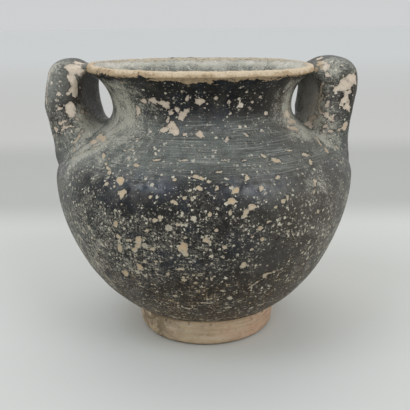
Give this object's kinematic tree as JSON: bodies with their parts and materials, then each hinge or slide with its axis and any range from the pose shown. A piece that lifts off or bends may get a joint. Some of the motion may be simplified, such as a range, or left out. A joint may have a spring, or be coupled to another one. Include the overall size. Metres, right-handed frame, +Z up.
{
  "type": "handled jar",
  "caption": "Wide-mouthed pottery jar with a round belly on a ring foot, a flared neck and upright strap handles from lip to shoulder, in worn black slip over pale clay; holds water or wine.",
  "frame": {"origin": "centre of the standing plane, under the foot ring", "axes": "+Z up, +X towards the right-hand handle as seen from the front, the front faces -Y"},
  "size_m": [0.1246, 0.121, 0.1139],
  "materials": {
    "slipped_clay": "matt to satin black slip, chipped through to the clay",
    "bare_clay": "unslipped fired clay, matt"
  },
  "bodies": {
    "root": {"body": "slipped_clay", "neck": "slipped_clay", "right_handle": "slipped_clay", "right_lower_luting": "slipped_clay", "right_upper_luting": "slipped_clay", "left_handle": "slipped_clay", "left_lower_luting": "slipped_clay", "left_upper_luting": "slipped_clay", "foot_ring": "bare_clay"}
  },
  "joints": []
}
